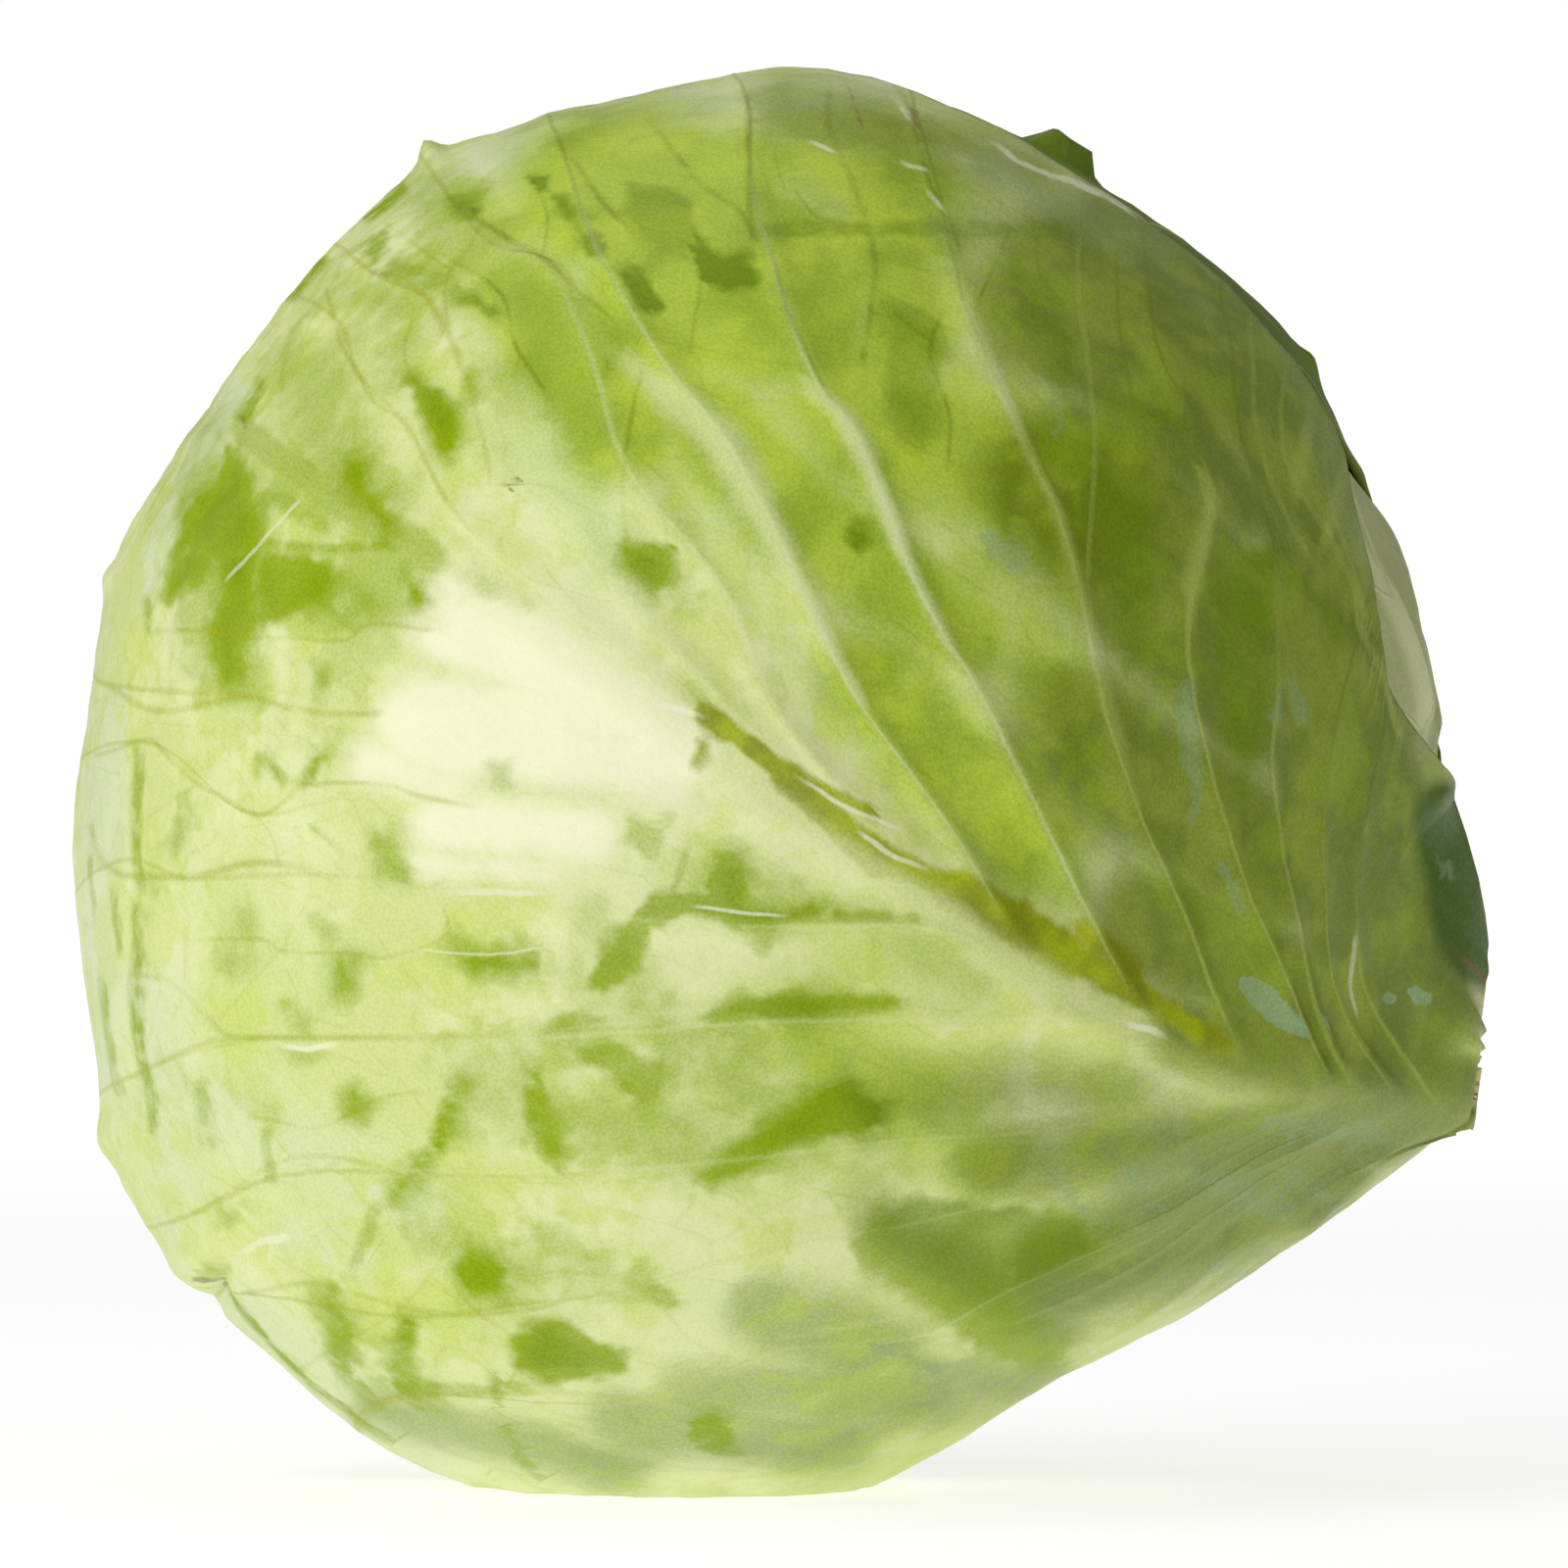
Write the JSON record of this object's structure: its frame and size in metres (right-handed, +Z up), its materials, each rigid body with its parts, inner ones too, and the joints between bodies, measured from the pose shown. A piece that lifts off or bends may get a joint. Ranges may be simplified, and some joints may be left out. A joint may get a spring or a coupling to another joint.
{
  "type": "cabbage head",
  "caption": "Whole white cabbage head with its cut stem, wrapped in large ribbed leaves round a firm heart, lying on its side on a small flat spot.",
  "frame": {"origin": "centre of the head's box, on the surface that it lies on", "axes": "+Z up; the cut stem points towards +X and down; the large front leaf faces -Y"},
  "size_m": [0.1841, 0.1777, 0.1811],
  "materials": {
    "front_leaf": "waxy satin, pale green with darker blotches, pale ribs and fine veins",
    "dark_leaf": "waxy satin, dark olive green with pale ribs",
    "side_leaf": "waxy satin, mid to pale green with pale ribs",
    "pale_leaf": "smooth satin, pale yellow green",
    "heart": "smooth satin, cream to pale yellow green",
    "stem": "matte cut face, cream, browned at the rim"
  },
  "bodies": {
    "root": {"leaf_front": "front_leaf", "leaf_top": "dark_leaf", "leaf_under": "side_leaf", "leaf_back": "side_leaf", "leaf_inner": "pale_leaf", "heart": "heart", "stem": "stem"}
  },
  "joints": []
}
